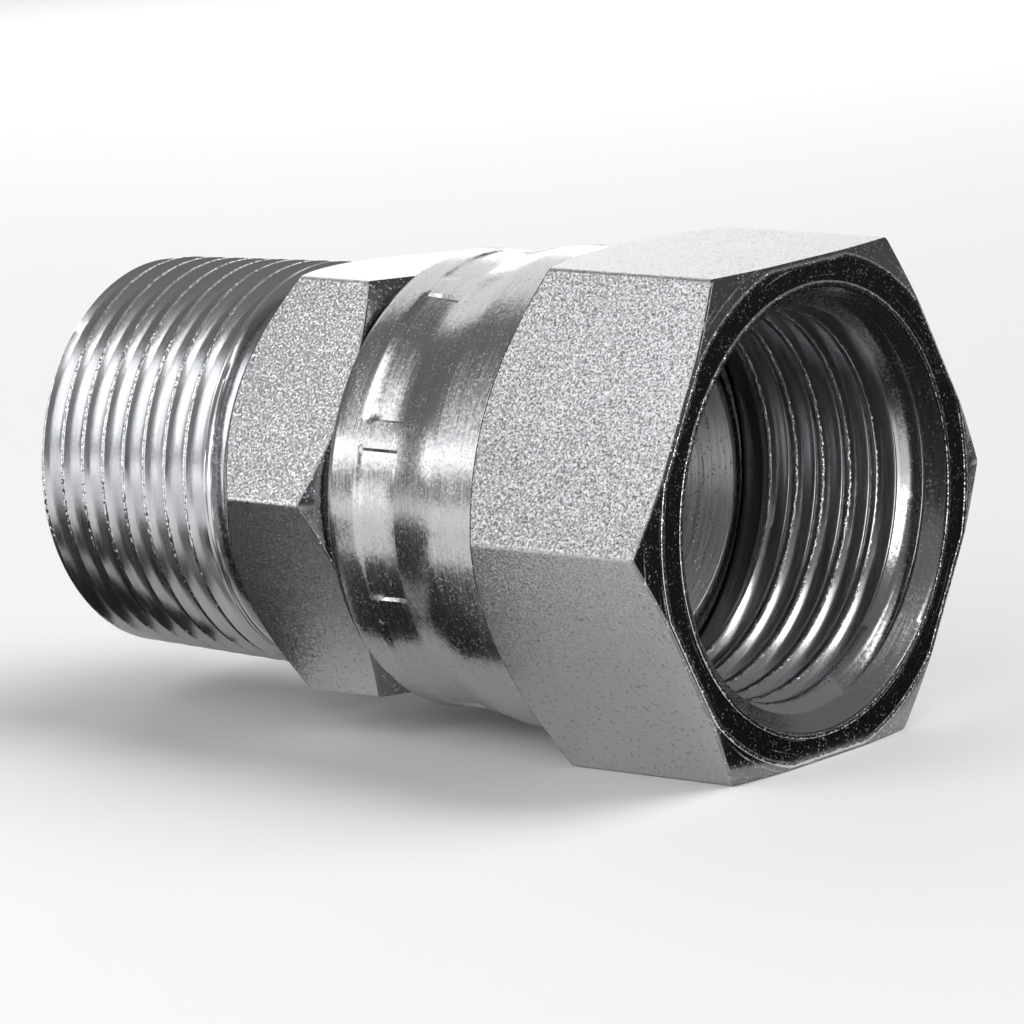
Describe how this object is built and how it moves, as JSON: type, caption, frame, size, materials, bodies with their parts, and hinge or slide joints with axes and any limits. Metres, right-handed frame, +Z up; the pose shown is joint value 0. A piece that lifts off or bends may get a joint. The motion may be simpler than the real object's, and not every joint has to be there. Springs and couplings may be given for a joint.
{
  "type": "hydraulic adapter",
  "caption": "Straight hydraulic adapter with a tapered pipe thread at one end and a crimped swivel nut with a flared seat at the other.",
  "frame": {"origin": "centre of the swivel nut's open face, on the adapter's axis", "axes": "+X along the adapter's axis, out of the nut's mouth; +Z up, with the nut lying on one of its flats; +Y across the flats' corners"},
  "size_m": [0.0543, 0.0366, 0.0318],
  "materials": {
    "zinc_plated_body": "bright zinc plate over turned steel",
    "zinc_plated_nut": "bright zinc plate over turned and crimped steel"
  },
  "bodies": {
    "adapter": {"adapter_body": "zinc_plated_body"},
    "nut": {"swivel_nut": "zinc_plated_nut"}
  },
  "joints": [
    {"name": "nut_swivel", "type": "hinge", "parent": "adapter", "child": "nut", "pos_m": [0, 0, 0], "axis": [1, 0, 0], "continuous": true}
  ]
}
